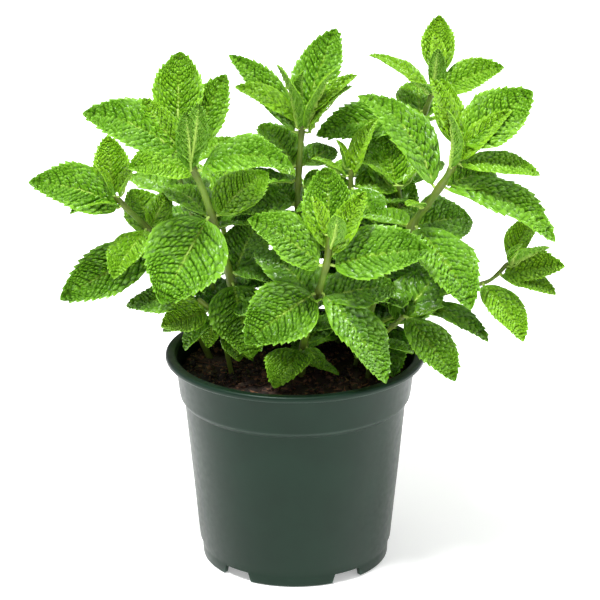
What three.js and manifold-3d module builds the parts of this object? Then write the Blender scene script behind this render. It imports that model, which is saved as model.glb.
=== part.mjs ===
// A mint plant growing in a round nursery pot, in millimetres, +Z up; -Y is the plant's front.
// The pieces are laid out about the pot's axis, and the whole is then moved so that the origin
// is the middle of the plant's plan, level with the pot's feet.
import * as THREE from 'three';
import { mergeVertices } from 'three/addons/utils/BufferGeometryUtils.js';
import Module from 'manifold-3d';

const wasm = await Module();
wasm.setup();

// The middle of the plant's plan, measured from the pot's axis
const PLAN_MIDDLE_X = 1.6;
const PLAN_MIDDLE_Y = 23.5;

// Pot: radii and heights of the moulded wall
const RIM_RADIUS = 82.5;
const RIM_HEIGHT = 137;
const LIP_DEPTH = 4;
const COLLAR_TOP_RADIUS = 76.4;
const COLLAR_LOW_RADIUS = 73.2;
const COLLAR_LOW_Z = 105;
const BODY_TOP_RADIUS = 70.3;
const BODY_TOP_Z = 100;
const BODY_LOW_RADIUS = 61.8;
const BODY_LOW_Z = 12;
const BASE_RADIUS = 60.2;
const BASE_BAND = 4;
const WALL = 1.6;
const STEP_ROUND = 1.2;
const COLLAR_EDGE = 1.5;
const LIP_EDGE = 0.8;
const LIP_CREST = 2;
const FLOOR_Z = 6;
const FLOOR_THICKNESS = 2;
const FOOT_COUNT = 5;
const FOOT_HEIGHT = 6;
const FOOT_TURN = -2.5;
const FOOT_WALL = 3.2;
const FOOT_EDGE = 0.6;
const NOTCH_WIDTH = 19;
const NOTCH_SLOPE = 2;
const NOTCH_CLEARANCE = 3;
const NOTCH_DEPTH = 12;
const DRAIN_COUNT = 8;
const DRAIN_RADIUS = 4.5;
const DRAIN_CIRCLE = 44;
const DRAIN_FACETS = 16;
const POT_FACETS = 60;

// Soil: its surface is a low mound just under the rim
const SOIL_EDGE_Z = 124;
const SOIL_EDGE_ROUND = 3;
const SOIL_CROWN = 4;
const SOIL_MOUND = [[45, 0.6], [20, 0.9], [0, 1]];
const SOIL_FACETS = 30;

// Fits between touching pieces
const GAP = 0.3;
const FACET_GAP = 0.4;

// Stems and leaves
const STEM_SIDES = 8;
const STEM_STEPS = 9;
const STEM_TAPER = 0.72;
const LEAF_RINGS = 10;
const LEAF_THICKNESS = 0.9;
const LEAF_THINNING = 0.3;
const PETIOLE_RADIUS = 0.9;
const PETIOLE_SHARE = 0.07;
const PETIOLE_GAP = 0.5;
const BLADE_FOLD = 12;

const degrees = THREE.MathUtils.degToRad;

// Each shoot has its stem's radius, the stem's points from below the soil up to the growing tip,
// and its large leaves: [stem point, azimuth, lift, length, width, arch, roll], angles in degrees.
// Azimuth 0 is +X and 90 is +Y, lift is the slope from base to tip, arch is how far the midrib
// turns down along the blade, and a positive roll lowers the edge on the leaf's right.
const SHOOTS = {
  left: {
    radius: 2.7,
    points: [[-36, 14, 112], [-40, -10, 186], [-51, -26, 234], [-61, -32, 266], [-67, -32, 277], [-71, -32, 291]],
    leaves: [
      [1, -70, -48, 50, 44, 30, 0],
      [2, -128, -44, 62, 51, 30, -28],
      [2, 42, 26, 46, 32, 30, 20],
      [4, 175, 22, 62, 38, 50, -32],
      [3, -18, 8, 59, 34, 75, 25],
      [3, -140, 13, 46, 32, 40, -25],
      [5, 88, 58, 49, 31, 15, 0],
      [4, 40, 57, 52, 28, 15, 25],
    ],
  },
  left_rear: {
    radius: 1.9,
    points: [[-44, 44, 112], [-58, 36, 192], [-68, 34, 223], [-75, 34, 246]],
    leaves: [],
  },
  far_left: {
    radius: 2.1,
    points: [[-50, 22, 112], [-71, 4, 169], [-84, -8, 208], [-91, -12, 222], [-105, -16, 237], [-111, -16, 244]],
    leaves: [
      [2, -166, -25, 67, 34, 14, -45],
      [3, -118, -27, 43, 27, 20, 5],
      [4, -172, 19, 58, 36, 60, -38],
      [5, 103, 60, 38, 24, 15, 0],
    ],
  },
  rear_middle: {
    radius: 2.3,
    points: [[2, 50, 112], [2, 45, 155], [2, 32, 242], [4, 30, 272], [4, 30, 284], [4, 30, 294]],
    leaves: [
      [3, 170, 50, 64, 27, 20, -22],
      [4, 58, 52, 60, 33, 15, 0],
      [3, -8, 50, 42, 20, 25, 10],
    ],
  },
  front: {
    radius: 2.5,
    points: [[4, -14, 112], [5, -26, 148], [14, -56, 195], [19, -62, 215], [20, -64, 225], [21, -64, 234]],
    leaves: [
      [1, -116, -18, 39, 30, 20, 0],
      [2, -144, -22, 54, 42, 30, -35],
      [2, -32, -47, 66, 44, 30, 0],
      [3, -170, 36, 54, 38, 35, -35],
      [3, -8, 12, 60, 42, 35, 32],
      [4, 93, 55, 52, 32, 20, 0],
    ],
  },
  middle_right: {
    radius: 1.9,
    points: [[27, 38, 112], [29, 35, 159], [36, 25, 202], [35, 22, 237], [35, 22, 250]],
    leaves: [],
  },
  rear_right: {
    radius: 1.9,
    points: [[48, 34, 112], [55, 30, 160], [68, 28, 208], [65, 26, 238]],
    leaves: [
      [3, 107, 42, 46, 34, 20, 0],
      [2, 80, 70, 38, 22, 10, 0],
    ],
  },
  right: {
    radius: 2.6,
    points: [
      [44, 10, 112], [49, 0, 170], [72, -22, 227], [88, -30, 254], [96, -33, 270], [98, -33, 281], [100, -33, 290],
    ],
    leaves: [
      [2, -50, -37, 64, 42, 30, 0],
      [3, -15, -22, 74, 32, 60, 18],
      [3, 147, 43, 74, 34, 70, -12],
      [5, 12, 37, 53, 40, 20, 32],
      [4, -12, -4, 49, 28, 25, 12],
      [5, 108, 57, 43, 20, 15, 0],
    ],
  },
  top_right: {
    radius: 2.2,
    points: [[46, 46, 112], [58, 50, 188], [80, 52, 273], [88, 54, 292], [91, 54, 302]],
    leaves: [
      [2, 180, -7, 64, 31, 55, -35],
      [3, 155, 26, 46, 18, 40, -5],
      [3, -5, 24, 44, 28, 25, 32],
      [4, 88, 60, 40, 22, 15, 0],
    ],
  },
  far_right: {
    radius: 1.4,
    points: [
      [34, 0, 112], [46, -6, 151], [62, -16, 166], [93, -20, 182], [115, -20, 189], [126, -19, 193], [132, -19, 202],
    ],
    leaves: [
      [4, -51, -35, 46, 28, 20, 0],
      [5, -15, 15, 40, 26, 20, 30],
      [6, 50, 44, 34, 20, 15, 10],
    ],
  },
  low_right: {
    radius: 1.7,
    points: [[44, -16, 112], [50, -22, 148], [67, -36, 173]],
    leaves: [
      [2, -48, -35, 52, 32, 25, 0],
    ],
  },
  low_left: {
    radius: 1.7,
    points: [[-38, -10, 112], [-45, -20, 152], [-52, -32, 175], [-60, -35, 184]],
    leaves: [
      [2, -155, -10, 31, 28, 20, -45],
    ],
  },
  back_left: {
    radius: 2.0,
    points: [[-30, 50, 112], [-40, 66, 160], [-48, 78, 196], [-52, 84, 214]],
    leaves: [
      [2, 150, -5, 58, 38, 35, 0],
      [3, 75, 15, 48, 32, 30, 0],
    ],
  },
  back: {
    radius: 2.0,
    points: [[6, 58, 112], [8, 74, 160], [10, 86, 194], [10, 92, 212]],
    leaves: [
      [2, 95, -15, 52, 38, 35, 0],
    ],
  },
  back_right: {
    radius: 2.0,
    points: [[32, 48, 112], [44, 66, 160], [54, 80, 196], [58, 87, 214]],
    leaves: [
      [2, 30, -8, 58, 38, 35, 0],
      [3, 105, 15, 48, 32, 30, 0],
    ],
  },
};

const finishes = {
  pot: new THREE.MeshStandardMaterial({ color: 0x3c4f47, roughness: 0.45, metalness: 0 }),
  soil: new THREE.MeshStandardMaterial({ color: 0x2e1c12, roughness: 1, metalness: 0 }),
  stem: new THREE.MeshStandardMaterial({ color: 0x6f8f3a, roughness: 0.6, metalness: 0 }),
  leaf: new THREE.MeshStandardMaterial({ color: 0x4a8f2e, roughness: 0.5, metalness: 0 }),
};

function toSolid(geometry) {
  const bare = geometry.clone();
  bare.deleteAttribute('normal');
  bare.deleteAttribute('uv');
  const merged = mergeVertices(bare, 1e-4);
  return new wasm.Manifold(new wasm.Mesh({
    numProp: 3,
    vertProperties: Float32Array.from(merged.attributes.position.array),
    triVerts: Uint32Array.from(merged.index.array),
  }));
}

function toGeometry(solid) {
  const mesh = solid.getMesh();
  const geometry = new THREE.BufferGeometry();
  geometry.setAttribute('position', new THREE.BufferAttribute(Float32Array.from(mesh.vertProperties), 3));
  geometry.setIndex(new THREE.BufferAttribute(Uint32Array.from(mesh.triVerts), 1));
  return geometry;
}

function lathe(profile, facets) {
  const points = profile.map(([radius, height]) => new THREE.Vector2(radius, height));
  const geometry = new THREE.LatheGeometry(points, facets);
  geometry.rotateX(Math.PI / 2);
  return geometry;
}

function named(name, geometry, finish) {
  const mesh = new THREE.Mesh(geometry, finish);
  mesh.name = name;
  return mesh;
}

// The inside radius of the pot's wall at a height above its floor
function innerRadius(z) {
  const slope = (BODY_TOP_RADIUS - BODY_LOW_RADIUS) / (BODY_TOP_Z - BODY_LOW_Z);
  return BODY_LOW_RADIUS + slope * (z - BODY_LOW_Z) - WALL;
}

function potGeometry() {
  const inner = COLLAR_TOP_RADIUS - WALL;
  const collarStep = COLLAR_LOW_RADIUS - WALL;
  const floorTop = FLOOR_Z + FLOOR_THICKNESS;
  const lipLow = RIM_HEIGHT - LIP_DEPTH;
  const profile = [
    [0, FLOOR_Z],
    [BASE_RADIUS - FOOT_WALL, FLOOR_Z],
    [BASE_RADIUS - FOOT_WALL, 0],
    [BASE_RADIUS - FOOT_EDGE, 0],
    [BASE_RADIUS, BODY_LOW_Z - BASE_BAND],
    [BODY_LOW_RADIUS, BODY_LOW_Z],
    [BODY_TOP_RADIUS, BODY_TOP_Z],
    [BODY_TOP_RADIUS + STEP_ROUND, BODY_TOP_Z + STEP_ROUND],
    [COLLAR_LOW_RADIUS - COLLAR_EDGE / 4, COLLAR_LOW_Z - COLLAR_EDGE],
    [COLLAR_LOW_RADIUS, COLLAR_LOW_Z],
    [COLLAR_TOP_RADIUS, lipLow],
    [RIM_RADIUS - LIP_EDGE / 2, lipLow],
    [RIM_RADIUS, lipLow + LIP_EDGE],
    [RIM_RADIUS - LIP_EDGE / 2, RIM_HEIGHT - LIP_EDGE],
    [RIM_RADIUS - LIP_CREST, RIM_HEIGHT],
    [inner + LIP_CREST, RIM_HEIGHT - LIP_EDGE / 2],
    [inner, RIM_HEIGHT - LIP_CREST],
    [collarStep, COLLAR_LOW_Z],
    [innerRadius(BODY_TOP_Z), BODY_TOP_Z],
    [innerRadius(floorTop), floorTop],
    [0, floorTop],
  ];
  let solid = toSolid(lathe(profile, POT_FACETS));
  for (let foot = 0; foot < FOOT_COUNT; foot += 1) {
    const turn = degrees(FOOT_TURN - 90 + (foot + 0.5) * 360 / FOOT_COUNT);
    solid = solid.subtract(toSolid(notchCutter(turn)));
  }
  for (let hole = 0; hole < DRAIN_COUNT; hole += 1) {
    const drain = new THREE.CylinderGeometry(DRAIN_RADIUS, DRAIN_RADIUS, 4 * FLOOR_THICKNESS, DRAIN_FACETS);
    drain.rotateX(Math.PI / 2);
    drain.translate(DRAIN_CIRCLE, 0, FLOOR_Z + FLOOR_THICKNESS / 2);
    drain.rotateZ((hole + 0.5) * 2 * Math.PI / DRAIN_COUNT);
    solid = solid.subtract(toSolid(drain));
  }
  return toGeometry(solid);
}

// A radial wedge with sloped ends that cuts the gap between two feet
function notchCutter(turn) {
  const low = BASE_RADIUS * Math.tan(degrees(NOTCH_WIDTH / 2));
  const slope = NOTCH_SLOPE / FOOT_HEIGHT;
  const outline = new THREE.Shape();
  outline.moveTo(-low - slope * NOTCH_CLEARANCE, -NOTCH_CLEARANCE);
  outline.lineTo(low + slope * NOTCH_CLEARANCE, -NOTCH_CLEARANCE);
  outline.lineTo(low - NOTCH_SLOPE, FOOT_HEIGHT - GAP);
  outline.lineTo(NOTCH_SLOPE - low, FOOT_HEIGHT - GAP);
  outline.closePath();
  const cutter = new THREE.ExtrudeGeometry(outline, { depth: NOTCH_DEPTH, bevelEnabled: false });
  cutter.rotateX(Math.PI / 2);
  cutter.rotateZ(Math.PI / 2);
  cutter.translate(BASE_RADIUS - FOOT_WALL - NOTCH_CLEARANCE, 0, 0);
  cutter.rotateZ(turn);
  return cutter;
}

// The soil fills the pot and is pierced by the stems
function soilGeometry(holes) {
  const floor = FLOOR_Z + FLOOR_THICKNESS + GAP;
  const shoulder = COLLAR_LOW_RADIUS - WALL - GAP;
  const profile = [
    [0, floor],
    [innerRadius(floor) - GAP - FACET_GAP, floor],
    [innerRadius(BODY_TOP_Z) - GAP - FACET_GAP, BODY_TOP_Z],
    [shoulder - FACET_GAP, COLLAR_LOW_Z + 1],
    [shoulder, SOIL_EDGE_Z - SOIL_EDGE_ROUND],
    [shoulder - SOIL_EDGE_ROUND, SOIL_EDGE_Z],
    ...SOIL_MOUND.map(([radius, share]) => [radius, SOIL_EDGE_Z + share * SOIL_CROWN]),
  ];
  let solid = toSolid(lathe(profile, SOIL_FACETS));
  for (const hole of holes) {
    solid = solid.subtract(hole);
  }
  return toGeometry(solid);
}

// A tapered eight-sided tube along the stem's curve
function stemGeometry(points, radius, extra = 0) {
  const curve = new THREE.CatmullRomCurve3(points.map((p) => new THREE.Vector3(...p)), false, 'centripetal');
  const frames = curve.computeFrenetFrames(STEM_STEPS, false);
  const tube = new THREE.CylinderGeometry(1, 1, 1, STEM_SIDES, STEM_STEPS);
  const place = tube.attributes.position;
  for (let i = 0; i < place.count; i += 1) {
    const share = place.getY(i) + 0.5;
    const step = Math.round(share * STEM_STEPS);
    const size = radius * THREE.MathUtils.lerp(1, STEM_TAPER, share) + extra;
    const point = curve.getPointAt(share);
    point.addScaledVector(frames.normals[step], place.getX(i) * size);
    point.addScaledVector(frames.binormals[step], -place.getZ(i) * size);
    place.setXYZ(i, point.x, point.y, point.z);
  }
  return tube;
}

// Half the width of a unit leaf at a share of its blade, from the petiole to the tip
function bladeOutline(share) {
  return Math.sin(Math.PI * share ** 0.75) ** 0.7;
}

// A leaf lies along +Y from its petiole, with its right edge to +X and its face up.
// It is a ball grid pressed flat: the rings cross the blade and the +Y pole is the tip.
function leafGeometry(length, width, arch) {
  const ball = new THREE.SphereGeometry(1, 8, LEAF_RINGS);
  const place = ball.attributes.position;
  const rise = length * Math.tan(degrees(arch) / 4) / 2;
  const fold = degrees(BLADE_FOLD);
  for (let i = 0; i < place.count; i += 1) {
    const ring = Math.round(Math.acos(THREE.MathUtils.clamp(-place.getY(i), -1, 1)) / Math.PI * LEAF_RINGS);
    const turn = Math.atan2(place.getZ(i), place.getX(i));
    const across = Math.cos(turn);
    const depth = Math.sin(turn);
    let along = 0;
    let x = across * PETIOLE_RADIUS;
    let z = depth * PETIOLE_RADIUS;
    if (ring === 0) {
      x = 0;
      z = 0;
    } else if (ring === 2) {
      along = PETIOLE_SHARE;
    } else if (ring > 2) {
      const share = (ring - 2) / (LEAF_RINGS - 2);
      const reach = 0.5 * width * bladeOutline(share);
      const core = ring === LEAF_RINGS ? 0 : LEAF_THICKNESS * (1 - LEAF_THINNING * share);
      along = THREE.MathUtils.lerp(PETIOLE_SHARE, 1, share);
      x = across * reach * Math.cos(fold);
      z = Math.abs(across) * reach * Math.sin(fold) + Math.min(depth, 0) * core;
    }
    place.setXYZ(i, x, along * length, z + 4 * rise * along * (1 - along));
  }
  return ball;
}

function addLeaf(group, name, shoot, [index, azimuth, lift, length, width, arch, roll]) {
  const leaf = named(name, leafGeometry(length, width, arch), finishes.leaf);
  const offset = shoot.radius + PETIOLE_RADIUS + PETIOLE_GAP;
  const [x, y, z] = shoot.points[index];
  const heading = degrees(azimuth);
  leaf.position.set(x + offset * Math.cos(heading), y + offset * Math.sin(heading), z);
  leaf.rotation.set(degrees(lift), degrees(roll), heading - Math.PI / 2, 'ZXY');
  group.add(leaf);
}

function shootGroup(name, shoot) {
  const group = new THREE.Group();
  group.add(named(`stem_${name}`, stemGeometry(shoot.points, shoot.radius), finishes.stem));
  shoot.leaves.forEach((leaf, i) => addLeaf(group, `leaf_${name}_${i + 1}`, shoot, leaf));
  return group;
}

const model = new THREE.Group();
model.position.set(-PLAN_MIDDLE_X, -PLAN_MIDDLE_Y, 0);
model.add(named('pot', potGeometry(), finishes.pot));
const sockets = Object.values(SHOOTS).map((shoot) => toSolid(stemGeometry(shoot.points, shoot.radius, GAP)));
model.add(named('soil', soilGeometry(sockets), finishes.soil));
for (const [name, shoot] of Object.entries(SHOOTS)) {
  model.add(shootGroup(name, shoot));
}

export default model;
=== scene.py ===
"""A mint plant in a round nursery pot: the looks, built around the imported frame. Metres, +Z up."""

import math
import random

import bmesh
import bpy
import numpy as np
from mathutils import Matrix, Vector, noise


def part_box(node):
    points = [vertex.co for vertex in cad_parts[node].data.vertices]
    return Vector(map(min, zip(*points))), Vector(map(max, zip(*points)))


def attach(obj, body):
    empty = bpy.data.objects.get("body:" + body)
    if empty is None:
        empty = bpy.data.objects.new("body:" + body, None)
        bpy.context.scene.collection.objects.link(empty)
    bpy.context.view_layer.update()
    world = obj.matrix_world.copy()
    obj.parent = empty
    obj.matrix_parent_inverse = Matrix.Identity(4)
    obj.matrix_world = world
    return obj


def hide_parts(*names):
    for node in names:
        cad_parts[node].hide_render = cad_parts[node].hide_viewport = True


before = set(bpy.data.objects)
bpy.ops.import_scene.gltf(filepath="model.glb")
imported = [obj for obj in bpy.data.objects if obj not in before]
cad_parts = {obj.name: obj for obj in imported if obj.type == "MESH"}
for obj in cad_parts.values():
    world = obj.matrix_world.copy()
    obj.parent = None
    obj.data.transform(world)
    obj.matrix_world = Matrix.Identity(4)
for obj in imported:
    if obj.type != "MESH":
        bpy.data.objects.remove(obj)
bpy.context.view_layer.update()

MM = 0.001
SEED = 11
POT_LOW, POT_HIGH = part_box("pot")
SOIL_LOW, SOIL_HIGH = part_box("soil")
POT_MIDDLE = (POT_LOW + POT_HIGH) / 2
STEM_NODES = sorted(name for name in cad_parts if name.startswith("stem_"))
LEAF_NODES = sorted(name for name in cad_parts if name.startswith("leaf_"))

# Camera and studio, in metres; the floor glows a little, and the air is dimmer as a light than in sight
CAMERA_FROM_POT = Vector((0.003, -1.500, 0.698))
CAMERA_TILT = math.radians(90 - 19.364)
CAMERA_LENS = 151.2
CAMERA_REACH = 50
FLOOR_SIZE = 14
FLOOR_GLOW = 0.34
AIR_LIGHT = 0.5
AIM_HEIGHT = 0.2

# Lamps: place, spread in degrees (the fill's size in metres) and strength
KEY_LAMP = ((-0.42, -0.5, 1.75), 16, 3.8)
TOP_LAMP = ((0.5, 0.3, 1.7), 60, 0.9)
FILL_LAMP = ((1.2, -1.2, 0.8), 0.9, 4)

# The pot: insets are mm in from the rim's radius, heights mm above its feet, and a fillet's two
# numbers are how far it runs across and up
LIP_DEPTH = 4
LIP_ROUND = 1.6
WALL = 1.6
COLLAR_TOP_INSET = 6.1
COLLAR_LOW_INSET = 8.8
COLLAR_LOW_Z = 110.5
STEP_INSET = 11.8
STEP_Z = 106
STEP_FILLET = (1.2, 1)
COLLAR_FILLET = (0.4, 1.5)
MOUTH_WIDTH = 1.8
MOUTH_DROPS = (0.3, 2)
BODY_LOW_INSET = 20.7
BODY_LOW_Z = 12
BASE_INSET = 22.3
BASE_BAND_Z = 8
FLOOR_Z = 6
FLOOR_THICKNESS = 2
FOOT_COUNT = 5
FOOT_WALL = 3.2
FOOT_TURN = -92.5
NOTCH_HALF = 9.5
FOOT_TAPER = 0.94
FOOT_DRAFT = 0.994
POT_STEPS = 144
EDGE_ROUND = 0.35
DISC_INSET = 4
DRAIN_COUNT = 8
DRAIN_CIRCLE = 44
DRAIN_RADIUS = 4.5
DRILL_DEPTH = 20

# The soil, in mm: its bed runs a little into the pot's wall
BED_OVERLAP = 1.4
BED_DROP = 4.5
BED_DEPTH = 12
BED_RINGS = 40
BED_DOME = 4
CRUMB_COUNT = 900
CRUMB_SIZES = [0.8, 1.1, 1.5, 2.2, 3.0]
EARTH_SHARE = 0.7
FIBRE_COUNT = 150

# Stems: lengths and heights in metres
STEM_SIDES = 12
STEM_SQUARENESS = 0.45
STEM_TOP_SHARE = 0.72
STEM_TIP_SHARE = 0.6
NODE_SWELL = 0.28
NODE_REACH = 3.2 * MM
NODE_TINT_REACH = 4.5 * MM
LOW_TINT_HEIGHTS = (0.155, 0.122)

# Framed leaves and stems: how the CAD draws them
RING_POINTS = 8
LEAF_RINGS = 10
MIDDLE_RING = 6
PETIOLE_SHARE = 0.07
CAD_FOLD = math.radians(12)

# Blades: where they start, their veins, cells and teeth; the sweep is scaled so that it peaks at 1
STALK_SHARE = 0.012
SIDE_VEINS = 9
VEIN_WIDTH = 0.08
VEIN_SWEEP = 0.3
SWEEP_SCALE = 27 / 4
CELLS_ACROSS = 7
CELL_JITTER = 0.42
GROOVE_WIDTH = 0.24
TEETH = 15
TOOTH_REACH = 0.03
BLADE_THICKNESS = 0.4 * MM
RIB_WIDTH = 0.8 * MM
RIB_DEPTH = 0.9 * MM

# Blades: each pair goes from a young leaf to a grown one; the cells are puffed up by some mm
FOLD_DEGREES = (58, 17)
EDGE_CURL = (0.2, 0.12)
PUFF_DEPTH = (1.7, 2.5)
STALK_GIRTH = (0.8, 1.0)

# Blades: how much one differs from the next
WAVE_RANGE = (0.02, 0.06)
WAVES = 2.2
TWIST_DEGREES = 10
SWAY = 0.025
DROOP = 0.16
SHADE_RANGE = (-0.05, 0.1)

# A framed leaf's age comes from its length, and a small one longer than LONG_LEAF mm is drawn finer
GROWN_LENGTHS = (30 * MM, 62 * MM)
FULL_WIDTH = 30 * MM
LONG_LEAF = 32

# A leaf's shade comes from its height above the feet and its reach from the pot's axis, in metres
OPEN_HEIGHTS = (0.16, 0.26)
OPEN_REACHES = (0.08, 0.125)
FRAMED_SHADE = (0.6, 0.0)
SMALL_SHADE = (0.8, 0.1)

# Smaller leaves on each stem, beside the framed ones, in mm and degrees:
# [height above the feet, azimuth, lift, length, width, arch, roll, age from 0 young to 1 grown]
SMALL_LEAVES = {
    "left": [
        [277, 155, 50, 40, 20, 30, -60, 0.5],
        [272, -60, 76, 40, 15, 15, -40, 0.4],
        [266, -115, 80, 40, 16, 15, 35, 0.45],
        [284, 60, 60, 32, 16, 10, 0, 0.2],
        [188, 60, 40, 48, 36, 30, 0, 0.9],
        [234, 130, 10, 46, 30, 30, 0, 0.8],
        [160, -10, 10, 34, 24, 30, 0, 1],
        [160, 150, 10, 34, 24, 30, 0, 1],
        [194, -25, -4, 36, 28, 30, 0, 1],
        [168, -95, -40, 26, 18, 20, 0, 0.7],
    ],
    "left_rear": [
        [208, -14, 6, 46, 34, 30, 0, 1],
        [226, 137, 6, 54, 34, 25, 0, 0.8],
        [244, 20, 30, 40, 26, 30, 0, 0.7],
        [246, 110, 50, 36, 22, 20, 0, 0.5],
        [246, -70, 45, 26, 14, 20, 0, 0.4],
        [223, 100, 10, 48, 34, 30, 0, 0.9],
        [223, -60, 0, 38, 26, 30, 0, 0.9],
        [192, 165, 0, 44, 32, 30, 0, 1],
        [192, 0, 10, 36, 26, 30, 0, 1],
    ],
    "far_left": [
        [238, -150, 2, 34, 20, 40, 10, 0.5],
        [212, 122, 44, 40, 32, 20, 0, 0.5],
        [222, 60, 40, 28, 16, 20, 20, 0.5],
        [204, 20, 4, 34, 24, 30, 20, 0.8],
        [244, -20, 60, 26, 12, 10, 40, 0.15],
        [244, 160, 62, 22, 11, 10, 0, 0.12],
    ],
    "low_left": [
        [182, 170, -6, 46, 26, 25, -25, 0.9],
        [168, -110, -50, 18, 13, 20, 0, 0.5],
        [172, -150, -46, 27, 20, 20, 0, 0.8],
        [158, -50, -40, 22, 15, 20, 0, 0.6],
        [150, -20, -30, 20, 14, 20, 0, 0.6],
    ],
    "rear_middle": [
        [240, -165, -2, 48, 32, 30, 0, 1],
        [250, -172, 0, 46, 28, 30, 0, 0.9],
        [204, -150, 4, 44, 32, 30, 0, 1],
        [204, 30, 0, 44, 32, 30, 0, 1],
        [280, -161, 32, 48, 22, 30, -30, 0.5],
        [275, -130, 66, 50, 19, 15, -30, 0.3],
        [275, -40, 62, 48, 18, 10, 30, 0.3],
        [284, -12, 40, 42, 18, 15, 30, 0.4],
        [282, -90, 76, 34, 14, 10, 50, 0.2],
        [248, 132, 35, 40, 32, 25, 0, 0.8],
        [250, 46, 7, 32, 20, 20, 25, 0.9],
        [236, 4, 2, 32, 18, 30, 20, 0.9],
        [222, 125, 16, 42, 30, 30, 0, 0.9],
        [224, -172, -6, 42, 34, 30, -10, 0.9],
        [212, 10, -2, 38, 26, 30, 20, 1],
        [190, 150, 8, 44, 34, 30, 0, 1],
        [190, -20, 8, 42, 32, 30, 0, 1],
    ],
    "front": [
        [222, 15, 62, 43, 20, 15, 45, 0.3],
        [226, 130, 50, 30, 17, 15, 0, 0.4],
        [227, -70, 66, 27, 14, 15, -40, 0.2],
        [234, 150, 68, 25, 12, 10, -30, 0.1],
        [190, 19, 2, 50, 38, 30, 20, 0.9],
        [192, 135, 20, 52, 42, 30, 0, 1],
        [176, 170, 0, 46, 34, 30, -10, 1],
        [190, -90, 20, 12, 8, 10, 0, 0.4],
        [150, 60, 10, 34, 24, 30, 0, 1],
        [150, -50, -36, 18, 13, 20, 0, 0.6],
        [138, -10, -20, 22, 16, 20, 0, 0.7],
    ],
    "middle_right": [
        [228, -165, -4, 34, 26, 30, 0, 1],
        [228, 10, -4, 38, 28, 30, 0, 1],
        [238, -62, -24, 34, 28, 30, 0, 1],
        [246, 38, 62, 38, 19, 15, 0, 0.3],
        [246, -170, 30, 26, 16, 20, 0, 0.5],
        [239, 30, -6, 40, 25, 30, 25, 0.6],
        [250, 160, 70, 20, 10, 10, 0, 0.2],
        [202, -90, -10, 38, 30, 30, 0, 1],
        [202, 90, 0, 44, 32, 30, 0, 1],
        [216, -20, -10, 38, 28, 30, 0, 1],
        [216, 170, -6, 40, 28, 30, 0, 1],
    ],
    "rear_right": [
        [223, 120, 58, 54, 32, 20, 0, 0.8],
        [208, -134, 0, 42, 30, 30, 0, 0.9],
        [208, 40, 0, 46, 32, 30, 0, 0.9],
        [238, 0, 45, 30, 20, 20, 0, 0.5],
        [238, 180, 40, 30, 20, 20, 0, 0.5],
        [224, -60, -8, 38, 26, 30, 0, 0.9],
        [184, -50, -5, 40, 30, 30, 0, 1],
    ],
    "right": [
        [281, 40, 45, 38, 22, 20, 25, 0.4],
        [284, -178, 70, 42, 19, 20, -40, 0.35],
        [272, 0, 46, 44, 18, 20, 40, 0.3],
        [268, -105, 74, 42, 16, 20, -50, 0.3],
        [256, 24, 4, 35, 32, 25, 20, 0.8],
        [242, -130, 15, 18, 12, 20, 0, 0.4],
        [227, 34, -4, 43, 36, 25, 35, 1],
        [227, 140, -4, 40, 28, 30, 0, 0.9],
        [185, 50, 0, 44, 34, 30, 0, 1],
        [176, -30, -10, 40, 30, 30, 0, 1],
    ],
    "top_right": [
        [292, -130, 30, 26, 15, 20, -20, 0.3],
        [291, -75, 74, 34, 14, 10, -40, 0.2],
        [302, 100, 66, 28, 13, 10, 0, 0.15],
        [280, -160, -30, 25, 14, 20, -20, 0.3],
        [273, 90, 20, 44, 30, 30, 0, 0.7],
        [273, -60, 20, 24, 14, 30, 0, 0.5],
        [230, 60, 5, 48, 34, 30, 0, 0.9],
        [230, 150, 5, 44, 30, 30, 0, 0.9],
    ],
    "far_right": [
        [195, -30, -10, 38, 22, 30, 10, 0.6],
        [174, -28, -18, 50, 21, 45, 10, 0.9],
        [200, -20, 30, 30, 18, 20, -20, 0.3],
        [202, -60, 55, 20, 10, 10, 0, 0.15],
        [184, 70, 20, 18, 14, 30, 0, 0.7],
        [168, 70, 10, 36, 24, 30, 0, 0.9],
    ],
    "low_right": [
        [165, 41, 36, 48, 36, 25, 15, 0.9],
        [150, 0, -15, 22, 17, 20, 0, 0.6],
        [172, 20, 10, 26, 18, 20, 0, 0.6],
    ],
    "back_left": [
        [214, -20, 40, 34, 22, 20, 0, 0.5],
        [214, 160, 45, 34, 20, 20, 0, 0.4],
        [196, 60, 0, 50, 36, 30, 0, 0.9],
        [196, -120, 5, 40, 30, 30, 0, 0.9],
    ],
    "back": [
        [200, 100, 10, 44, 32, 30, 0, 1],
        [200, -80, 10, 44, 32, 30, 0, 1],
        [212, 10, 40, 38, 24, 20, 0, 0.5],
        [212, 170, 40, 38, 24, 20, 0, 0.5],
        [212, -80, 60, 26, 14, 10, 0, 0.2],
        [194, -10, 0, 48, 34, 30, 0, 0.9],
        [194, 190, 0, 48, 34, 30, 0, 0.9],
    ],
    "back_right": [
        [214, 190, 40, 34, 22, 20, 0, 0.5],
        [214, 20, 45, 34, 20, 20, 0, 0.4],
        [196, 120, 0, 50, 36, 30, 0, 0.9],
        [196, -60, 5, 42, 30, 30, 0, 0.9],
    ],
}

# Grown leaves in crossed pairs low on the inner and rear stems: the azimuth of the lowest pair
LOW_PAIRS = {
    "left_rear": 20,
    "rear_middle": 170,
    "middle_right": 60,
    "rear_right": 120,
    "top_right": 20,
    "right": 110,
    "back_left": 150,
    "back": 100,
    "back_right": 40,
}
LOW_PAIR_HEIGHTS = (136, 154, 174)


def lerp(a, b, t):
    return a + (b - a) * t


def smooth(low, high, value):
    """0 below low, 1 above high, and an even rise between."""
    t = np.clip((value - low) / (high - low), 0, 1)
    return t * t * (3 - 2 * t)


def clear_selection():
    if bpy.context.object and bpy.context.object.mode != "OBJECT":
        bpy.ops.object.mode_set(mode="OBJECT")
    bpy.ops.object.select_all(action="DESELECT")


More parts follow.
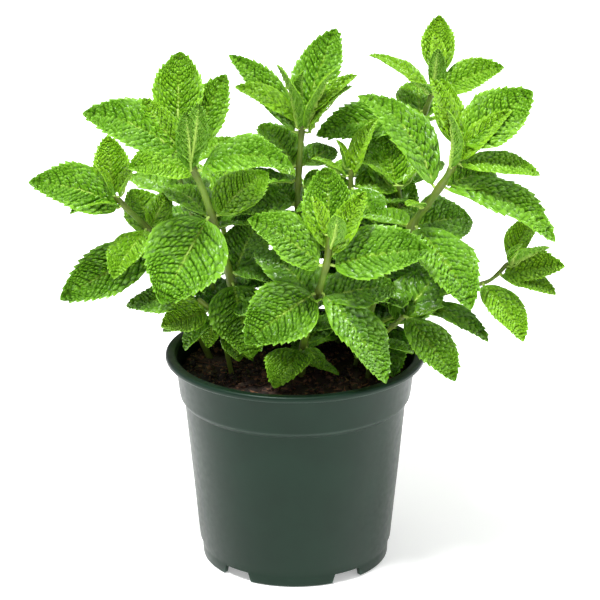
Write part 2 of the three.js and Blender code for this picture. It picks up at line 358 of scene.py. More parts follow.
def pick(piece):
    """Makes the piece the only one selected."""
    clear_selection()
    piece.select_set(True)
    bpy.context.view_layer.objects.active = piece


def add_modifier(piece, kind, **settings):
    """Adds one modifier and applies it."""
    pick(piece)
    modifier = piece.modifiers.new(kind.title(), kind)
    for name, value in settings.items():
        setattr(modifier, name, value)
    bpy.ops.object.modifier_apply(modifier=modifier.name)


def finish_piece(piece, name, slot, *nodes, smooth_angle=50):
    """Names and smooths the piece and rides it on the root body; its slot argument is not used."""
    piece.name = name
    piece.data.name = name
    pick(piece)
    bpy.ops.object.transform_apply(location=True, rotation=True, scale=True)
    bpy.ops.object.shade_smooth_by_angle(angle=math.radians(smooth_angle))
    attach(piece, "root")
    if nodes:
        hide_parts(*nodes)
    return piece


def mesh_piece(vertices, faces, materials, face_material=None, marks=None):
    """A mesh object from points and faces, with its materials and its point colours."""
    mesh = bpy.data.meshes.new("piece")
    mesh.from_pydata(vertices, [], faces)
    for material in materials:
        mesh.materials.append(material)
    if face_material is not None:
        mesh.polygons.foreach_set("material_index", face_material)
    for name, values in (marks or {}).items():
        attribute = mesh.attributes.new(name, "FLOAT_COLOR", "POINT")
        attribute.data.foreach_set("color", np.asarray(values, np.float32).ravel())
    mesh.update()
    piece = bpy.data.objects.new("piece", mesh)
    bpy.context.collection.objects.link(piece)
    return piece


# ---------------------------------------------------------------- materials


class Shading:
    """A small helper that adds and links the nodes of one material or node group."""

    def __init__(self, tree):
        self.tree = tree

    def add(self, kind, **settings):
        """A new node, with settings by the names of its inputs or of its own properties."""
        node = self.tree.nodes.new(kind)
        for name, value in settings.items():
            if name in node.inputs:
                node.inputs[name].default_value = value
            else:
                setattr(node, name, value)
        return node

    def link(self, output, socket):
        self.tree.links.new(output, socket)

    def feed(self, socket, value):
        """Links an output to the socket, or sets a plain value on it."""
        if isinstance(value, bpy.types.NodeSocket):
            self.link(value, socket)
        else:
            socket.default_value = value

    def mix(self, a, b, factor):
        """Colour a where the factor is 0 and colour b where it is 1."""
        node = self.add("ShaderNodeMix", data_type="RGBA")
        self.feed(node.inputs[0], factor)
        self.feed(node.inputs[6], a)
        self.feed(node.inputs[7], b)
        return node.outputs[2]

    def times(self, a, b):
        node = self.add("ShaderNodeMath", operation="MULTIPLY")
        self.feed(node.inputs[0], a)
        self.feed(node.inputs[1], b)
        return node.outputs[0]

    def spread(self, value, low, high, to_low, to_high):
        """The value's range from low to high carried over to another range."""
        node = self.add("ShaderNodeMapRange")
        node.inputs["From Min"].default_value = low
        node.inputs["From Max"].default_value = high
        node.inputs["To Min"].default_value = to_low
        node.inputs["To Max"].default_value = to_high
        self.link(value, node.inputs["Value"])
        return node.outputs["Result"]


def new_material(name):
    """A material, the helper for its nodes, and its shader."""
    material = bpy.data.materials.new(name)
    material.use_nodes = True
    shading = Shading(material.node_tree)
    shader = material.node_tree.nodes["Principled BSDF"]
    return material, shading, shader


def grain_group():
    """Fine mottling shared by every finish: two sizes of noise as a colour mask and a height."""
    tree = bpy.data.node_groups.new("fine_grain", "ShaderNodeTree")
    face = tree.interface
    scale = face.new_socket("Scale", in_out="INPUT", socket_type="NodeSocketFloat")
    scale.default_value = 300
    roughen = face.new_socket("Roughen", in_out="INPUT", socket_type="NodeSocketFloat")
    roughen.default_value = 0.5
    face.new_socket("Patches", in_out="OUTPUT", socket_type="NodeSocketFloat")
    face.new_socket("Height", in_out="OUTPUT", socket_type="NodeSocketFloat")
    nodes = Shading(tree)
    entry = nodes.add("NodeGroupInput")
    leave = nodes.add("NodeGroupOutput")
    place = nodes.add("ShaderNodeTexCoord")
    broad = nodes.add("ShaderNodeTexNoise", Detail=3.0)
    fine = nodes.add("ShaderNodeTexNoise", Detail=4.0)
    nodes.link(nodes.times(entry.outputs["Scale"], 0.16), broad.inputs["Scale"])
    nodes.link(entry.outputs["Scale"], fine.inputs["Scale"])
    nodes.link(entry.outputs["Roughen"], fine.inputs["Roughness"])
    for texture in (broad, fine):
        nodes.link(place.outputs["Object"], texture.inputs["Vector"])
    nodes.link(nodes.spread(broad.outputs["Fac"], 0.35, 0.65, 0, 1), leave.inputs["Patches"])
    nodes.link(fine.outputs["Fac"], leave.inputs["Height"])
    return tree


GRAIN = grain_group()


def grain(nodes, scale, roughen=0.5):
    group = nodes.add("ShaderNodeGroup", node_tree=GRAIN)
    group.inputs["Scale"].default_value = scale
    group.inputs["Roughen"].default_value = roughen
    return group


def bump(nodes, shader, height, strength, distance):
    node = nodes.add("ShaderNodeBump", Strength=strength, Distance=distance)
    nodes.link(height, node.inputs["Height"])
    nodes.link(node.outputs["Normal"], shader.inputs["Normal"])


def leaf_material(name, colours, gloss, vein_and_crease_shade_strength):
    """Leaf skin: colour by age, painted shade inside the plant and in its vein creases, pale midrib and
    margin, soft sheen.
    """
    material, nodes, shader = new_material(name)
    marks = nodes.add("ShaderNodeAttribute", attribute_name="leaf_marks")
    tone = nodes.add("ShaderNodeAttribute", attribute_name="leaf_tone")
    mark = nodes.add("ShaderNodeSeparateColor")
    hue = nodes.add("ShaderNodeSeparateColor")
    nodes.link(marks.outputs["Color"], mark.inputs["Color"])
    nodes.link(tone.outputs["Color"], hue.inputs["Color"])
    fine = grain(nodes, 420)
    colour = nodes.mix(colours["young"], colours["grown"], hue.outputs["Red"])
    # Painted shade: leaves low in the plant and near its middle get the darker green, by their shade
    # value.
    colour = nodes.mix(colour, colours["painted_shade"], nodes.times(hue.outputs["Green"], 0.8))
    patches = nodes.times(fine.outputs["Patches"], 0.35)
    colour = nodes.mix(colour, colours["light"], patches)
    # Painted shade in the creases: the face darkens its veins and the grooves between cells, while the
    # underside makes them paler in its own vein colour.
    veins = nodes.times(mark.outputs["Red"], vein_and_crease_shade_strength)
    colour = nodes.mix(colour, colours["vein_and_crease_shade"], veins)
    colour = nodes.mix(colour, colours["edge"], nodes.times(mark.outputs["Blue"], 0.55))
    colour = nodes.mix(colour, colours["rib"], mark.outputs["Green"])
    nodes.link(colour, shader.inputs["Base Color"])
    nodes.link(nodes.spread(fine.outputs["Height"], 0.3, 0.7, *gloss), shader.inputs["Roughness"])
    bump(nodes, shader, fine.outputs["Height"], 0.35, 0.25 * MM)
    shader.inputs["Specular IOR Level"].default_value = 0.5
    return material


def stem_material():
    """Olive green stem, purple brown near its nodes and where it leaves the soil."""
    material, nodes, shader = new_material("stem_skin")
    marks = nodes.add("ShaderNodeAttribute", attribute_name="stem_marks")
    mark = nodes.add("ShaderNodeSeparateColor")
    nodes.link(marks.outputs["Color"], mark.inputs["Color"])
    fine = grain(nodes, 500)
    colour = nodes.mix((0.105, 0.20, 0.010, 1), (0.18, 0.30, 0.018, 1), fine.outputs["Patches"])
    at_nodes = nodes.times(mark.outputs["Red"], 0.4)
    colour = nodes.mix(colour, (0.085, 0.05, 0.012, 1), at_nodes)
    at_foot = nodes.times(mark.outputs["Green"], 0.7)
    colour = nodes.mix(colour, (0.12, 0.14, 0.03, 1), at_foot)
    nodes.link(colour, shader.inputs["Base Color"])
    nodes.link(nodes.spread(fine.outputs["Height"], 0.3, 0.7, 0.4, 0.6), shader.inputs["Roughness"])
    bump(nodes, shader, fine.outputs["Height"], 0.3, 0.3 * MM)
    return material


def pot_material():
    """Satin moulded plastic with faint mottling, and a painted highlight that makes its sharp edges
    paler.
    """
    material, nodes, shader = new_material("pot_plastic")
    fine = grain(nodes, 260)
    dark, light = (0.0025, 0.0130, 0.0065, 1), (0.0035, 0.0165, 0.0085, 1)
    colour = nodes.mix(dark, light, fine.outputs["Patches"])
    geometry = nodes.add("ShaderNodeNewGeometry")
    # Painted highlight: the sharp edges, found by pointiness, are made paler.
    painted_edge_highlight = nodes.spread(geometry.outputs["Pointiness"], 0.52, 0.58, 0, 0.85)
    colour = nodes.mix(colour, (0.10, 0.17, 0.135, 1), painted_edge_highlight)
    nodes.link(colour, shader.inputs["Base Color"])
    gloss = nodes.spread(fine.outputs["Height"], 0.3, 0.7, 0.34, 0.42)
    nodes.link(gloss, shader.inputs["Roughness"])
    shader.inputs["Specular IOR Level"].default_value = 0.28
    shader.inputs["Specular Tint"].default_value = (0.74, 0.9, 0.8, 1)
    bump(nodes, shader, fine.outputs["Height"], 0.04, 0.1 * MM)
    return material


def soil_material(name, dark, light, scale):
    """Damp earth or bark: broken brown patches with a coarse, matt surface."""
    material, nodes, shader = new_material(name)
    fine = grain(nodes, scale, 0.7)
    colour = nodes.mix(dark, light, fine.outputs["Patches"])
    colour = nodes.mix(colour, dark, nodes.spread(fine.outputs["Height"], 0.4, 0.6, 0.7, 0))
    nodes.link(colour, shader.inputs["Base Color"])
    gloss = nodes.spread(fine.outputs["Height"], 0.3, 0.7, 0.75, 0.95)
    nodes.link(gloss, shader.inputs["Roughness"])
    bump(nodes, shader, fine.outputs["Height"], 0.8, 0.8 * MM)
    return material


LEAF_FACE = leaf_material(
    "leaf_face",
    {
        "young": (0.36, 0.68, 0.012, 1),
        "grown": (0.185, 0.45, 0.017, 1),
        "painted_shade": (0.028, 0.115, 0.006, 1),
        "light": (0.29, 0.61, 0.035, 1),
        "vein_and_crease_shade": (0.014, 0.070, 0.002, 1),
        "edge": (0.22, 0.50, 0.012, 1),
        "rib": (0.38, 0.60, 0.05, 1),
    },
    (0.27, 0.42),
    0.92,
)
LEAF_BACK = leaf_material(
    "leaf_underside",
    {
        "young": (0.11, 0.31, 0.003, 1),
        "grown": (0.11, 0.30, 0.012, 1),
        "painted_shade": (0.035, 0.13, 0.010, 1),
        "light": (0.14, 0.37, 0.012, 1),
        "vein_and_crease_shade": (0.33, 0.60, 0.06, 1),
        "edge": (0.24, 0.50, 0.03, 1),
        "rib": (0.42, 0.62, 0.10, 1),
    },
    (0.45, 0.58),
    0.75,
)
STEM_SKIN = stem_material()
POT_PLASTIC = pot_material()
SOIL_DARK = soil_material("damp_soil", (0.010, 0.005, 0.003, 1), (0.055, 0.026, 0.013, 1), 420)
BARK = soil_material("bark_fibre", (0.065, 0.026, 0.011, 1), (0.26, 0.12, 0.055, 1), 700)


# ---------------------------------------------------------------- reading the frame's plant


def merged_graph(node):
    """The points of a CAD node with its loose triangles joined, and each point's neighbours."""
    work = bmesh.new()
    work.from_mesh(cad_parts[node].data)
    bmesh.ops.remove_doubles(work, verts=work.verts, dist=0.01 * MM)
    work.verts.ensure_lookup_table()
    points = [vertex.co.copy() for vertex in work.verts]
    near = [[edge.other_vert(vertex).index for edge in vertex.link_edges] for vertex in work.verts]
    work.free()
    return points, near


def levels_from(start, near):
    """Point numbers grouped by how many edges they are away from the start."""
    seen, levels = {start}, [[start]]
    while levels[-1]:
        step = sorted({b for a in levels[-1] for b in near[a]} - seen)
        seen.update(step)
        levels.append(step)
    return levels[:-1]


def stem_line(node):
    """The middle of each ring of a CAD stem, from the soil up, and its radius at the foot."""
    points, near = merged_graph(node)
    caps = [i for i in range(len(points)) if len(near[i]) == RING_POINTS]
    foot = min(caps, key=lambda i: points[i].z)
    rings = [ring for ring in levels_from(foot, near) if len(ring) == RING_POINTS]
    middles = [sum((points[i] for i in ring), Vector()) / len(ring) for ring in rings]
    radius = max((points[i] - middles[0]).length for i in rings[0])
    return middles, radius


def leaf_shape(node):
    """The base, three directions, length, width and rise of a CAD leaf."""
    points, near = merged_graph(node)
    poles = [i for i in range(len(points)) if len(near[i]) == RING_POINTS]
    reach = {i: max((points[j] - points[i]).length for j in near[i]) for i in poles}
    base = min(poles, key=reach.get)
    rings = levels_from(base, near)
    ring = [points[i] for i in rings[MIDDLE_RING]]
    left, right = max(
        ((a, b) for a in ring for b in ring), key=lambda pair: (pair[0] - pair[1]).length
    )
    middle = (left + right) / 2
    span = (right - left).normalized()
    inner = sorted(ring, key=lambda p: abs((p - middle).dot(span)))[:2]
    upper = min(inner, key=lambda p: (p - middle).length)
    start, tip = points[base], points[rings[LEAF_RINGS][0]]
    along = (tip - start).normalized()
    face = (middle - upper).normalized()
    face = (face - along * face.dot(along)).normalized()
    across = along.cross(face)
    length = (tip - start).length
    share = (MIDDLE_RING - 2) / (LEAF_RINGS - 2)
    at = lerp(PETIOLE_SHARE, 1, share)
    of_widest = float(np.sin(np.pi * share**0.75) ** 0.7)
    width = (right - left).length / math.cos(CAD_FOLD) / of_widest
    rise = (upper - start).dot(face) / (4 * at * (1 - at))
    return start, (across, along, face), length, width, rise


# ---------------------------------------------------------------- leaves


class Quilting:
    """One blade's grid with its puffed cells and veins; rows follow the side veins."""

    def __init__(self, veins, rows_per_vein, columns, seed):
        rows = veins * rows_per_vein
        rng = np.random.default_rng(seed)
        self.rows, self.columns = rows, columns
        self.row = np.linspace(0, 1, rows + 1)[:, None] * np.ones(columns + 1)
        self.side = np.linspace(-1, 1, columns + 1)[None, :] * np.ones((rows + 1, 1))
        out = np.abs(self.side)
        sweep = VEIN_SWEEP * out**1.1 * SWEEP_SCALE * self.row * (1 - self.row) ** 2
        self.share = np.clip(self.row + sweep, 0, 1)
        lane = self.row * veins
        gap = self.cells(lane * 2, out * CELLS_ACROSS, veins * 2, rng)
        groove = np.exp(-((gap / GROOVE_WIDTH) ** 2))
        vein_and_crease_shade = np.exp(-(((lane - np.round(lane)) / VEIN_WIDTH) ** 2))
        vein_and_crease_shade *= smooth(1.0, 0.4, out)
        ends = smooth(0.0, 0.08, self.row) * smooth(1.0, 0.94, self.row)
        inside = smooth(1.0, 0.9, out) * ends
        puff = smooth(0.0, 0.7, gap) - 0.3 * vein_and_crease_shade
        self.height = (puff - 0.4) * inside
        # The vein and groove mark, which the leaf face's material turns into painted shade in the
        # creases.
        self.vein_and_crease_shade = np.clip(0.6 * groove + 0.8 * vein_and_crease_shade, 0, 1) * inside
        margin = self.share[:, -1] * TEETH
        sizes = 0.4 + 0.9 * rng.random((TEETH + 1, 2))
        teeth = (margin % 1)[:, None] * sizes[margin.astype(int)]
        teeth *= smooth(0.05, 0.18, self.row[:, :1]) * smooth(1.02, 0.9, self.row[:, :1])
        self.tooth = np.where(self.side < 0, teeth[:, :1], teeth[:, 1:]) * smooth(0.84, 1.0, out)
        self.faces = self.grid_faces()

    def cells(self, a, b, count, rng):
        """How much nearer each point is to its own cell's middle than to the next one's."""
        gap = np.zeros_like(a)
        for half in (self.side < 0, self.side >= 0):
            lanes, places = np.arange(-1, count + 1), np.arange(-1, CELLS_ACROSS + 1)
            i, j = np.meshgrid(lanes, places, indexing="ij")
            ci = (i + 0.5 + rng.uniform(-CELL_JITTER, CELL_JITTER, i.shape)).ravel()
            cj = (j + 0.5 + 0.5 * (i % 2) + rng.uniform(-CELL_JITTER, CELL_JITTER, i.shape)).ravel()
            away = np.hypot(a[half][:, None] - ci, b[half][:, None] - cj)
            away.sort(axis=1)
            gap[half] = away[:, 1] - away[:, 0]
        return gap

    def number(self, row, column):
        """Point number in a sheet whose first and last rows are one point each."""
        if row == 0:
            return 0
        if row == self.rows:
            return 1 + (self.rows - 1) * (self.columns + 1)
        return 1 + (row - 1) * (self.columns + 1) + column

    def grid_faces(self):
        """Four corners a face, and three where a row shrinks to one point."""
        faces = []
        for row in range(self.rows):
            for column in range(self.columns):
                corners = [
                    self.number(row, column),
                    self.number(row, column + 1),
                    self.number(row + 1, column + 1),
                    self.number(row + 1, column),
                ]
                faces.append(list(dict.fromkeys(corners)))
        return faces

    def sheet(self, grid):
        """Grid values as the sheet's list of points: pole, rows, pole."""
        flat = grid[1:-1].reshape(-1, *grid.shape[2:])
        middle = self.columns // 2
        return np.concatenate([grid[0, middle : middle + 1], flat, grid[-1, middle : middle + 1]])

    def rim(self):
        """The sheet's outline as point numbers, round the right edge and back along the left."""
        right = [self.number(row, self.columns) for row in range(1, self.rows)]
        left = [self.number(row, 0) for row in range(self.rows - 1, 0, -1)]
        return [self.number(0, 0), *right, self.number(self.rows, 0), *left]


FINE_QUILTS = [Quilting(SIDE_VEINS, 10, 56, SEED + k) for k in range(5)]
PLAIN_QUILTS = [Quilting(SIDE_VEINS - 1, 7, 30, SEED + 10 + k) for k in range(3)]
SMALL_QUILTS = [Quilting(SIDE_VEINS - 3, 6, 24, SEED + 20 + k) for k in range(3)]


def blade_half_width(share):
    """Half the width of a blade as a share of its widest, from the petiole to the tip."""
    curve = np.clip(np.sin(np.pi * np.clip(share, 0, 1) ** 0.82), 0, 1)
    return curve ** (0.72 + 0.1 * share)


def bent_blade(quilt, length, width, rise, age, rng):
    """The blade's grid points in its own frame: X right, Y to the tip, Z up from the face."""
    fold = math.radians(lerp(*FOLD_DEGREES, smooth(0, 0.6, age)))
    curl = lerp(*EDGE_CURL, age)
    wave = rng.uniform(*WAVE_RANGE)
    phase = [rng.uniform(0, 2 * math.pi) for _ in range(2)]
    twist = math.radians(rng.uniform(-TWIST_DEGREES, TWIST_DEGREES))
    sway = rng.uniform(-SWAY, SWAY)
    droop = rng.uniform(0, DROOP)
    share, side = quilt.share, quilt.side
    out = np.abs(side)
    along = lerp(STALK_SHARE, 1, share)
    half = 0.5 * width * blade_half_width(share)
    tooth = quilt.tooth * TOOTH_REACH * length
    x = side * half * math.cos(max(CAD_FOLD, fold - 0.2)) + np.sign(side) * tooth
    z = out * half * math.sin(fold) - curl * half * out**2
    ripple = np.sin(2 * math.pi * WAVES * share + np.where(side < 0, phase[0], phase[1]))
    z += wave * half * out**3 * ripple
    turn = twist * (share - 0.3)
    x, z = x * np.cos(turn) - z * np.sin(turn), x * np.sin(turn) + z * np.cos(turn)
    x = x + sway * length * np.sin(np.pi * along)
    y = along * length + 0.6 * tooth
    z = z + 4 * rise * along * (1 - along) - droop * length * smooth(0.6, 1.4, share) ** 2
    return np.stack([x, y, z], axis=-1)


def puffed(quilt, grid, width, age):
    """The blade with cells raised and veins sunk, its normals, and how near its midrib is."""
    rows = np.gradient(grid, axis=0)
    columns = np.gradient(grid, axis=1)
    normal = np.cross(columns, rows)
    normal[0] = normal[1]
    normal[-1] = normal[-2]
    normal /= np.linalg.norm(normal, axis=-1, keepdims=True) + 1e-12
    depth = lerp(*PUFF_DEPTH, age) * MM * min(1, width / FULL_WIDTH) ** 0.7
    rib = np.exp(-((np.abs(quilt.side) * width / 2 / RIB_WIDTH) ** 2))
    height = depth * quilt.height - RIB_DEPTH * rib * smooth(1.0, 0.3, quilt.row)
    return grid + normal * height[..., None], normal, rib


def tube(points, radii, sides=6):
    """A closed tube through the points."""
    vertices, faces = [], []
    up = Vector((0.13, 0.21, 1)).normalized()
    for k, point in enumerate(points):
        ahead = (points[min(k + 1, len(points) - 1)] - points[max(k - 1, 0)]).normalized()
        first = ahead.cross(up)
        if first.length < 0.1:
            first = ahead.cross(Vector((1, 0, 0)))
        first.normalize()
        second = ahead.cross(first)
        for side in range(sides):
            angle = 2 * math.pi * side / sides
            vertices.append(point + (first * math.cos(angle) + second * math.sin(angle)) * radii[k])
    for k in range(len(points) - 1):
        for side in range(sides):
            a, b = k * sides + side, k * sides + (side + 1) % sides
            faces.append([a, a + sides, b + sides, b])
    faces.append(list(range(sides)))
    faces.append([len(vertices) - 1 - k for k in range(sides)])
    return vertices, faces


def grown_leaf(shape, age, shade, rng, quilts, root):
    """A leaf as (points, faces, face materials, marks, tone).

    Its blade is two skins joined at the rim, with a stalk that runs on under the midrib.
    """
    start, (across, along, face), length, width, rise = shape
    quilt = rng.choice(quilts)
    grid = bent_blade(quilt, length, width, rise, age, rng)
    grid, normal, rib = puffed(quilt, grid, width, age)
    turn = np.array([across, along, face])
    upper = quilt.sheet(grid)
    below = quilt.sheet(grid - normal * BLADE_THICKNESS)
    flat = np.concatenate([upper, below]) @ turn + np.array(start)
    count = len(upper)
    faces = [list(f) for f in quilt.faces]
    faces += [[i + count for i in reversed(f)] for f in quilt.faces]
    rim = quilt.rim()
    for a, b in zip(rim, rim[1:] + rim[:1]):
        faces.append([b, a, a + count, b + count])
    skins = [0] * len(quilt.faces) + [1] * len(quilt.faces) + [0] * len(rim)
    out = np.abs(quilt.side)
    fade = smooth(1.05, 0.25, quilt.share)
    rib_mark = np.clip(rib, 0, 1) * lerp(0.15, 0.8, fade)
    margin = smooth(0.93, 1.0, out)
    marks = quilt.sheet(np.stack([quilt.vein_and_crease_shade, rib_mark, margin, np.ones_like(out)], axis=-1))
    tone = np.tile([age, shade, 0.0, 1.0], (count, 1))
    marks = np.concatenate([marks, marks])
    tone = np.concatenate([tone, tone])
    stalk = stalk_line(quilt, grid, normal, turn, start, root)
    girth = lerp(*STALK_GIRTH, age)
    radii = [lerp(1.0, 0.3, k / (len(stalk) - 1)) * MM * girth for k in range(len(stalk))]
    points, more = tube(stalk, radii)
    base = len(flat)
    flat = np.concatenate([flat, np.array([list(p) for p in points])])
    faces += [[i + base for i in f] for f in more]
    skins += [1] * len(more)
    marks = np.concatenate([marks, np.tile([0.0, 1.0, 0.0, 1.0], (len(points), 1))])
    tone = np.concatenate([tone, np.tile([age, 0.0, 0.0, 1.0], (len(points), 1))])
    return flat, faces, skins, marks, tone


def stalk_line(quilt, grid, normal, turn, start, root):
    """From inside the stem, along the petiole and under the midrib to past the blade's middle."""
    middle = quilt.columns // 2
    line = [root, start]
    for row in range(1, int(quilt.rows * 0.75), 5):
        point = grid[row, middle] - normal[row, middle] * (BLADE_THICKNESS + 0.1 * MM)
        line.append(Vector(point @ turn + np.array(start)))
    return line


def leaf_piece(parts, name, *nodes):
    """One object from one or several grown leaves."""
    points, faces, skins, marks, tone = [], [], [], [], []
    count = 0
    for part in parts:
        points.append(part[0])
        faces += [[i + count for i in f] for f in part[1]]
        skins += part[2]
        marks.append(part[3])
        tone.append(part[4])
        count += len(part[0])
    piece = mesh_piece(
        np.concatenate(points).tolist(),
        faces,
        [LEAF_FACE, LEAF_BACK],
        skins,
        {"leaf_marks": np.concatenate(marks), "leaf_tone": np.concatenate(tone)},
    )
    return finish_piece(piece, name, "leaf", *nodes, smooth_angle=60)


def directions(azimuth, lift, roll):
    """A leaf's right, forward and face directions from its azimuth, lift and roll in degrees."""
    a, e, r = (math.radians(v) for v in (azimuth, lift, roll))
    forward = Vector((math.cos(a) * math.cos(e), math.sin(a) * math.cos(e), math.sin(e)))
    level = Vector((math.sin(a), -math.cos(a), 0))
    top = level.cross(forward)
    right = level * math.cos(r) - top * math.sin(r)
    face = level * math.sin(r) + top * math.cos(r)
    return right, forward, face


def on_line(line, height):
    """The point of a stem's line at a height above the feet."""
    for a, b in zip(line, line[1:]):
        if a.z <= height <= b.z:
            return a.lerp(b, (height - a.z) / (b.z - a.z))
    return line[-1].copy() if height > line[-1].z else line[0].copy()


def nearest_on_line(line, point):
    """The place on a stem's line that is nearest to a point."""
    best = min(range(len(line)), key=lambda k: (line[k] - point).length)
    low, high = max(best - 1, 0), min(best + 1, len(line) - 1)
    steps = [line[a].lerp(line[a + 1], t / 8) for a in range(low, high) for t in range(9)]
    return min(steps, key=lambda p: (p - point).length)


def rounded_line(middles, steps=6):
    """A smooth line through the stem's ring middles."""
    line = []
    for k in range(len(middles) - 1):
        before = middles[max(k - 1, 0)]
        after = middles[min(k + 2, len(middles) - 1)]
        a, b = middles[k], middles[k + 1]
        for step in range(steps):
            t = step / steps
            bend = (2 * before - 5 * a + 4 * b - after) * t**2
            ease = (3 * a - before - 3 * b + after) * t**3
            line.append(0.5 * (2 * a + (b - before) * t + bend + ease))
    line.append(middles[-1].copy())
    return line


def stem_piece(node, line, radius, joints):
    """A four-cornered stem that swells at its leaf nodes."""
    sides = STEM_SIDES
    vertices, faces, marks = [], [], []
    first = Vector((1, 0, 0))
    for k, point in enumerate(line):
        ahead = (line[min(k + 1, len(line) - 1)] - line[max(k - 1, 0)]).normalized()
        first = (first - ahead * first.dot(ahead)).normalized()
        second = ahead.cross(first)
        close = min([(joint - point).length for joint in joints] or [1])
        swell = math.exp(-((close / NODE_REACH) ** 2))
        size = radius * lerp(1, STEM_TOP_SHARE, k / (len(line) - 1)) * (1 + NODE_SWELL * swell)
        if k == len(line) - 1:
            size *= STEM_TIP_SHARE
        tint = math.exp(-((close / NODE_TINT_REACH) ** 2))
        low = float(smooth(*LOW_TINT_HEIGHTS, point.z))
        for side in range(sides):
            angle = 2 * math.pi * side / sides
            square = 1 / (abs(math.cos(angle)) ** 4 + abs(math.sin(angle)) ** 4) ** 0.25
            reach = size * lerp(1, square, STEM_SQUARENESS)
            vertices.append(point + (first * math.cos(angle) + second * math.sin(angle)) * reach)
            marks.append([tint, low, 0, 1])
    for k in range(len(line) - 1):
        for side in range(sides):
            a, b = k * sides + side, k * sides + (side + 1) % sides
            faces.append([a, b, b + sides, a + sides])
    faces.append([sides - 1 - k for k in range(sides)])
    faces.append([len(vertices) - sides + k for k in range(sides)])
    piece = mesh_piece(vertices, faces, [STEM_SKIN], None, {"stem_marks": marks})
    return finish_piece(piece, "mint_" + node, "stem", node, smooth_angle=60)


def light_share(place):
    """How open to the light a leaf is: most at the top and round the outside of the plant."""
    reach = math.hypot(place.x - POT_MIDDLE.x, place.y - POT_MIDDLE.y)
    return float(max(smooth(*OPEN_HEIGHTS, place.z), smooth(*OPEN_REACHES, reach)))


def low_pairs(shoot, rng):
    """Pairs of grown leaves up the lower stem, each pair a quarter turn from the last."""
    leaves = []
    if shoot in LOW_PAIRS:
        for k, height in enumerate(LOW_PAIR_HEIGHTS):
            for side in (0, 180):
                azimuth = LOW_PAIRS[shoot] + 90 * k + side + rng.uniform(-15, 15)
                length = rng.uniform(34, 44)
                lift = rng.uniform(-8, 22)
                leaves.append([height, azimuth, lift, length, 0.75 * length, 30, 0, 1])
    return leaves


def grow_framed_leaves(shoot, line, rng):
    """Each framed leaf of a shoot as its own piece, and where their stalks leave the stem."""
    joints = []
    for leaf in LEAF_NODES:
        if leaf.rsplit("_", 1)[0] == "leaf_" + shoot:
            shape = leaf_shape(leaf)
            root = nearest_on_line(line, shape[0])
            joints.append(root)
            age = float(smooth(*GROWN_LENGTHS, shape[2]))
            shade = lerp(*FRAMED_SHADE, light_share(shape[0])) + rng.uniform(*SHADE_RANGE)
            part = grown_leaf(shape, lerp(0.2, 1, age), shade, rng, FINE_QUILTS, root)
            leaf_piece([part], "mint_" + leaf, leaf)
    return joints


def grow_small_leaves(shoot, line, radius, rng):
    """The smaller leaves of a shoot as one piece, and where their stalks leave the stem."""
    joints = []
    parts = []
    rows = SMALL_LEAVES[shoot] + low_pairs(shoot, rng)
    for height, azimuth, lift, length, width, arch, roll, age in rows:
        root = on_line(line, height * MM)
        joints.append(root)
        turn = directions(azimuth, lift, roll)
        out = Vector((turn[1].x, turn[1].y, 0)).normalized()
        start = root + out * (radius + 0.6 * MM)
        rise = length * math.tan(math.radians(arch) / 4) / 2
        shape = (start, turn, length * MM, width * MM, rise * MM)
        shade = lerp(*SMALL_SHADE, light_share(start)) * age + rng.uniform(*SHADE_RANGE)
        in_sight = length > LONG_LEAF and height > max(LOW_PAIR_HEIGHTS)
        quilts = PLAIN_QUILTS if in_sight else SMALL_QUILTS
        parts.append(grown_leaf(shape, age, shade, rng, quilts, root))
    leaf_piece(parts, "small_leaves_" + shoot)
    return joints


def grow_plant():
    """Every stem with its framed leaves and its smaller ones."""
    rng = random.Random(SEED)
    for node in STEM_NODES:
        shoot = node.removeprefix("stem_")
        middles, radius = stem_line(node)
        line = rounded_line(middles)
        joints = grow_framed_leaves(shoot, line, rng)
        joints += grow_small_leaves(shoot, line, radius, rng)
        stem_piece(node, line, radius, joints)


# ---------------------------------------------------------------- pot


def pot_profile():
    """The wall's section in mm, from under the base, up the outside, and down the inside."""
    rim = (POT_HIGH.x - POT_LOW.x) / 2 / MM
    top = POT_HIGH.z / MM
    inner = rim - COLLAR_TOP_INSET - WALL
    floor_top = FLOOR_Z + FLOOR_THICKNESS
    base = rim - BASE_INSET
    slope = (BODY_LOW_INSET - STEP_INSET) / (STEP_Z - BODY_LOW_Z)
    inside_low = rim - BODY_LOW_INSET - WALL - slope * (BODY_LOW_Z - floor_top)
    lip = [
        (rim - LIP_ROUND * (1 - math.cos(a)), top - LIP_DEPTH / 2 + (LIP_DEPTH / 2) * math.sin(a))
        for a in (math.radians(d) for d in range(-60, 91, 15))
    ]
    return [
        (base - FOOT_WALL, FLOOR_Z),
        (base, FLOOR_Z),
        (base, BASE_BAND_Z),
        (rim - BODY_LOW_INSET, BODY_LOW_Z),
        (rim - STEP_INSET, STEP_Z),
        (rim - STEP_INSET + STEP_FILLET[0], STEP_Z + STEP_FILLET[1]),
        (rim - COLLAR_LOW_INSET - COLLAR_FILLET[0], COLLAR_LOW_Z - COLLAR_FILLET[1]),
        (rim - COLLAR_LOW_INSET, COLLAR_LOW_Z),
        (rim - COLLAR_TOP_INSET, top - LIP_DEPTH),
        (rim - LIP_ROUND, top - LIP_DEPTH),
        *lip,
        (inner + MOUTH_WIDTH, top - MOUTH_DROPS[0]),
        (inner, top - MOUTH_DROPS[1]),
        (rim - COLLAR_LOW_INSET - WALL, COLLAR_LOW_Z),
        (rim - STEP_INSET - WALL, STEP_Z),
        (inside_low, floor_top),
    ]


